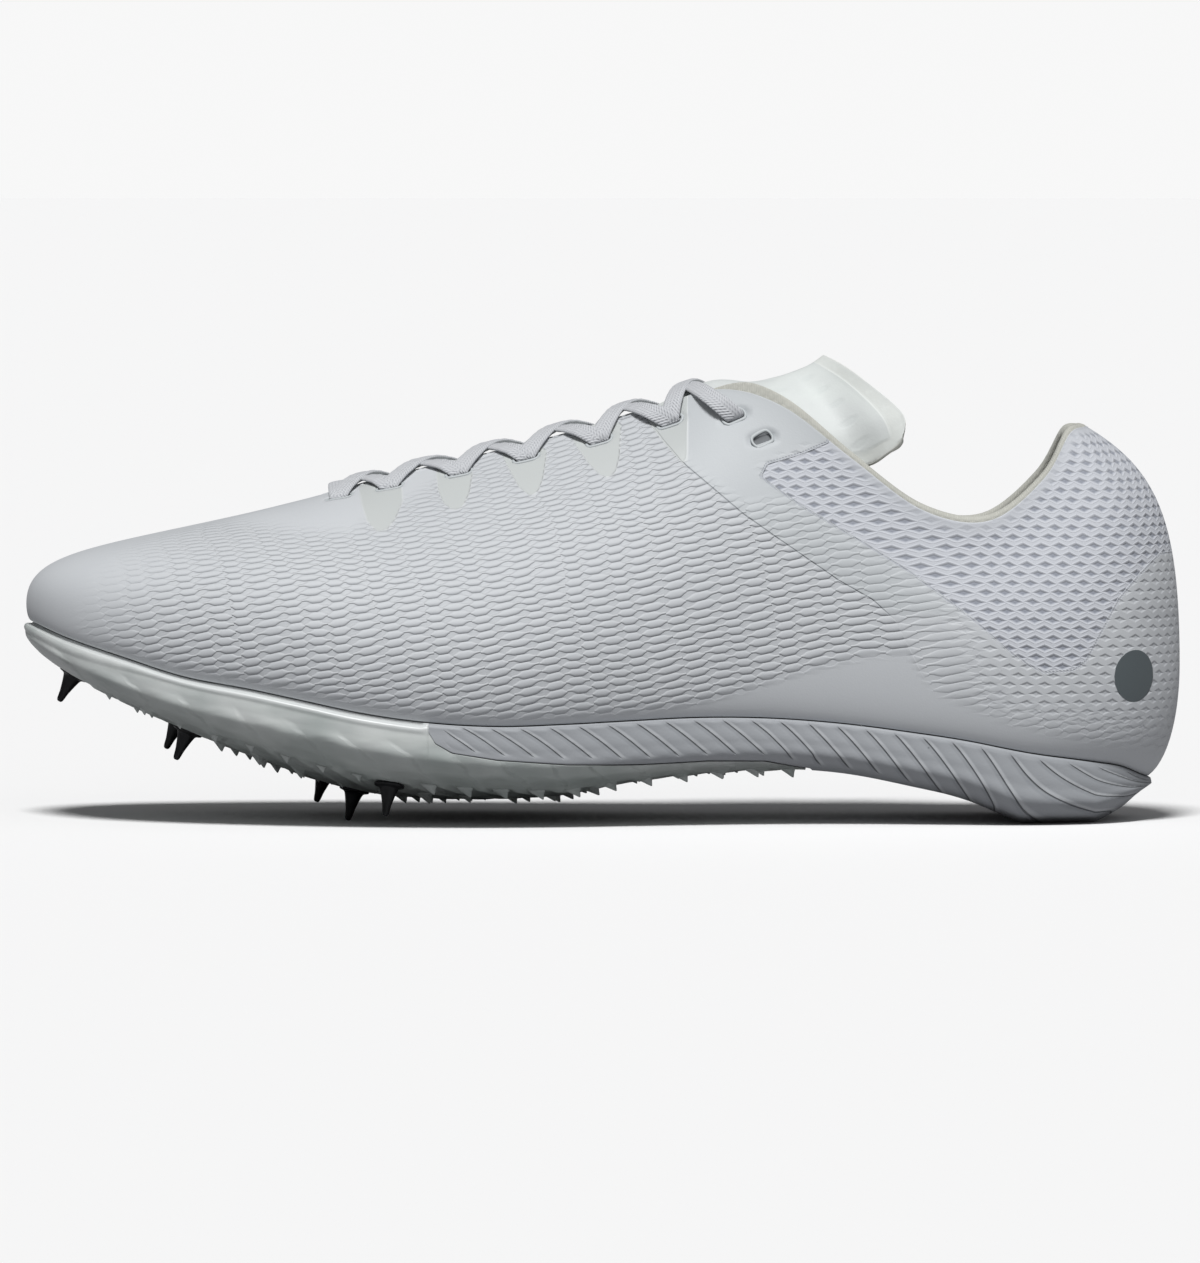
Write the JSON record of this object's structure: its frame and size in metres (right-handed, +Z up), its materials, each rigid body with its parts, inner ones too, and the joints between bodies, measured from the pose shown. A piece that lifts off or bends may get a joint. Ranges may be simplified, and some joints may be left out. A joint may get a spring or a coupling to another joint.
{
  "type": "track spike shoe",
  "caption": "Low left running shoe for the track: thin laced upper, high tongue, foam heel and arch, and a forefoot plate with pins under an upturned toe.",
  "frame": {"origin": "middle of the flat spot under the heel", "axes": "+Z up, -X towards the toe, +Y towards the inner side of the foot"},
  "size_m": [0.2802, 0.0909, 0.1125],
  "materials": {
    "upper": "ribbed weave with a thin clear film",
    "insole": "soft",
    "midsole": "matt foam",
    "plate": "cloudy, half clear",
    "tongue": "thin sheet",
    "lace": "flat weave",
    "pin": "black"
  },
  "bodies": {
    "root": {"upper": "upper", "insole": "insole", "midsole": "midsole", "spike_plate": "plate", "tongue": "tongue", "lace": "lace", "pin_toe": "pin", "pin_second_inner": "pin", "pin_second_outer": "pin", "pin_third_inner": "pin", "pin_third_middle": "pin", "pin_third_outer": "pin"}
  },
  "joints": []
}
